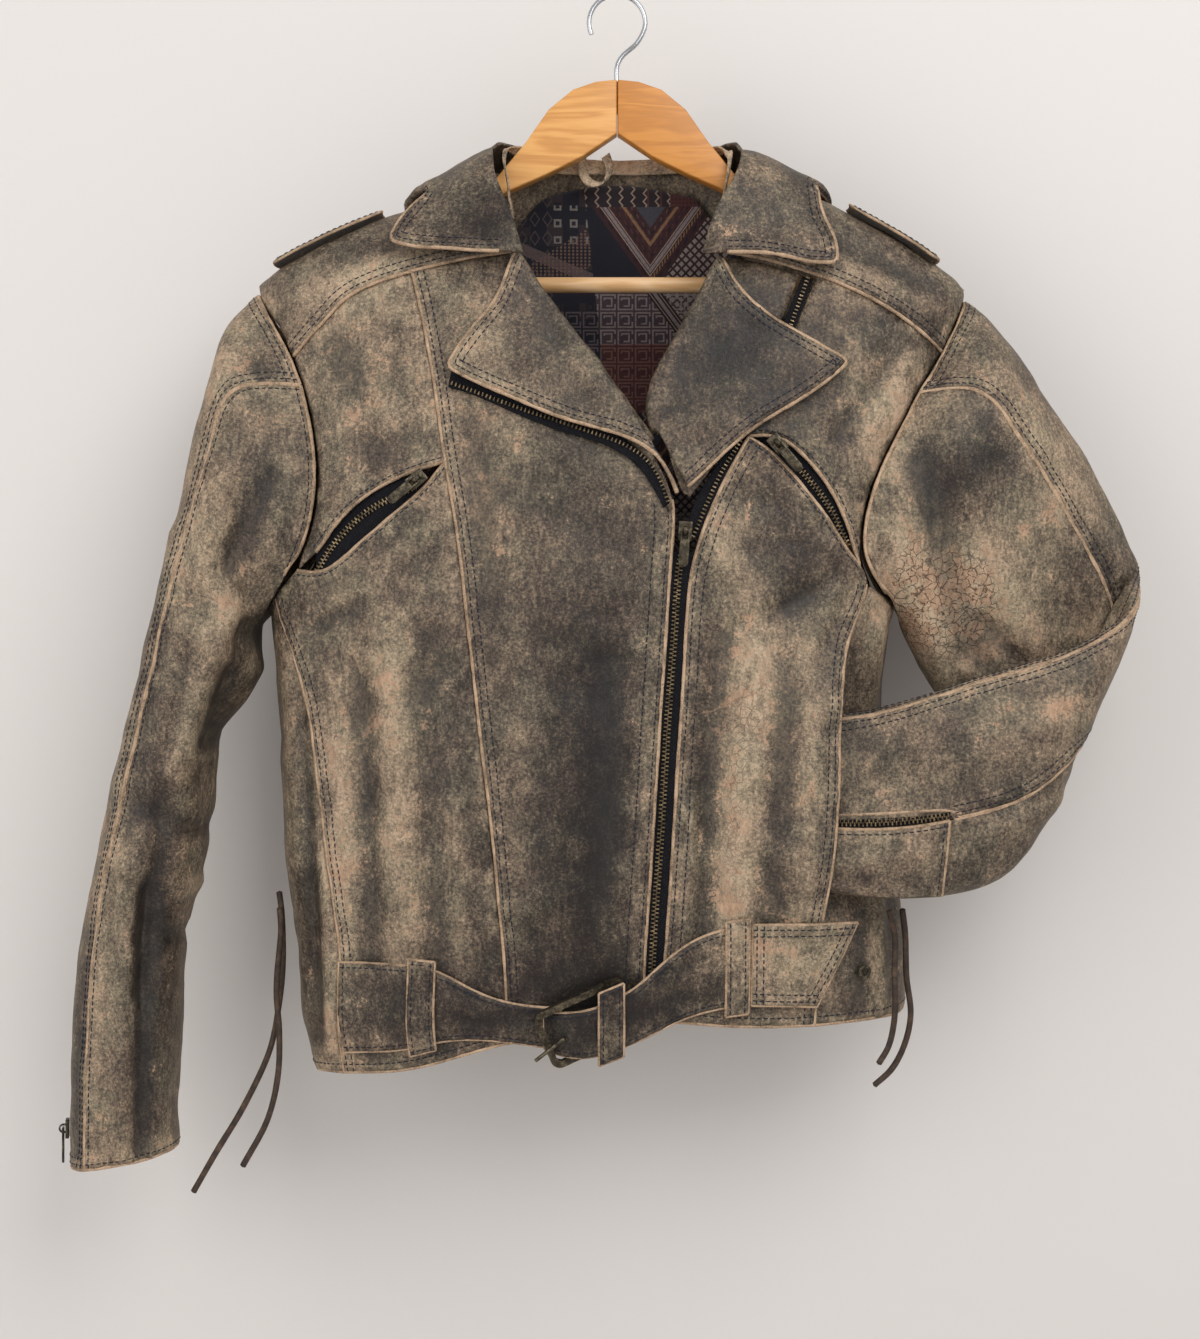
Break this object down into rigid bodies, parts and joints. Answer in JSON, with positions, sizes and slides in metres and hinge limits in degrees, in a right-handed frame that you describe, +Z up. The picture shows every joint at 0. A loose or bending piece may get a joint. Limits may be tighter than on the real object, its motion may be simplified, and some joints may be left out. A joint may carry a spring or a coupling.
{
  "type": "leather coat on a wooden hanger",
  "caption": "Short belted leather coat with a slanting front zip, hanging on a wooden hanger, one sleeve bent and tucked into the front.",
  "frame": {"origin": "inside of the hanger hook's bend, on the line where a rail carries it", "axes": "+Z up, the coat's front faces -Y, the wearer's left is +X"},
  "size_m": [0.7574, 0.1558, 0.8373],
  "materials": {
    "worn_leather": "distressed, charcoal rubbed through to tan",
    "dark_leather": "distressed, mostly charcoal",
    "lace_leather": "matt thong",
    "zip_tape": "woven tape",
    "lining": "patterned satin",
    "antique_metal": "dark antique",
    "pine": "clear varnish",
    "pine_pale": "clear varnish",
    "steel": "bright wire"
  },
  "bodies": {
    "coat_on_hanger": {"front_right_centre": "worn_leather", "front_right_lower": "worn_leather", "front_right_chest": "worn_leather", "front_right_yoke": "worn_leather", "front_left_lower": "worn_leather", "front_left_chest": "worn_leather", "front_left_underlap": "worn_leather", "front_left_yoke": "worn_leather", "side_right": "worn_leather", "side_left": "worn_leather", "back": "worn_leather", "back_yoke": "worn_leather", "sleeve_right_outer": "worn_leather", "sleeve_right_inner": "worn_leather", "sleeve_right_back": "worn_leather", "sleeve_left_outer": "worn_leather", "sleeve_left_inner": "worn_leather", "sleeve_left_back": "worn_leather", "cuff_panel_left": "worn_leather", "lapel_right": "worn_leather", "lapel_left": "worn_leather", "collar_stand": "worn_leather", "hang_loop": "worn_leather", "belt_end": "worn_leather", "belt_loop_right": "worn_leather", "belt_loop_left": "worn_leather", "belt_keeper": "worn_leather", "epaulette_right": "worn_leather", "epaulette_left": "worn_leather", "collar_leaf": "dark_leather", "belt_right": "dark_leather", "belt_left": "dark_leather", "cuff_zip_right": "zip_tape", "cuff_zip_left": "zip_tape", "zip_tape_right": "zip_tape", "zip_tape_left": "zip_tape", "lapel_zip_left": "zip_tape", "lapel_zip_right": "zip_tape", "pocket_zip_right": "zip_tape", "pocket_zip_left": "zip_tape", "lining_back": "lining", "zip_slider": "antique_metal", "pocket_slider_right": "antique_metal", "pocket_slider_left": "antique_metal", "cuff_slider_right": "antique_metal", "belt_buckle": "antique_metal", "buckle_prong": "antique_metal", "eyelet": "antique_metal", "lace_right_a": "lace_leather", "lace_right_b": "lace_leather", "lace_left_a": "lace_leather", "lace_left_b": "lace_leather", "hanger_half_right": "pine_pale", "hanger_half_left": "pine", "hanger_bar": "pine_pale", "hanger_hook": "steel"},
    "main_tab": {"zip_pull": "antique_metal"},
    "right_pocket_tab": {"pocket_pull_right": "antique_metal"},
    "left_pocket_tab": {"pocket_pull_left": "antique_metal"},
    "right_cuff_tab": {"cuff_pull_right": "antique_metal"}
  },
  "joints": [
    {"name": "main_tab_swing", "type": "hinge", "parent": "coat_on_hanger", "child": "main_tab", "pos_m": [0.04465, -0.08163, -0.37884], "axis": [-0.9976, 0, 0.0698], "range_deg": [0, 130]},
    {"name": "right_pocket_tab_swing", "type": "hinge", "parent": "coat_on_hanger", "child": "right_pocket_tab", "pos_m": [-0.13435, -0.07418, -0.34377], "axis": [-0.6428, 0, 0.766], "range_deg": [0, 130]},
    {"name": "left_pocket_tab_swing", "type": "hinge", "parent": "coat_on_hanger", "child": "left_pocket_tab", "pos_m": [0.1064, -0.07226, -0.31975], "axis": [-0.766, 0, -0.6428], "range_deg": [0, 130]},
    {"name": "right_cuff_tab_swing", "type": "hinge", "parent": "coat_on_hanger", "child": "right_cuff_tab", "pos_m": [-0.38564, -0.00871, -0.79], "axis": [-0.1736, 0.9848, 0], "range_deg": [0, 130]}
  ]
}
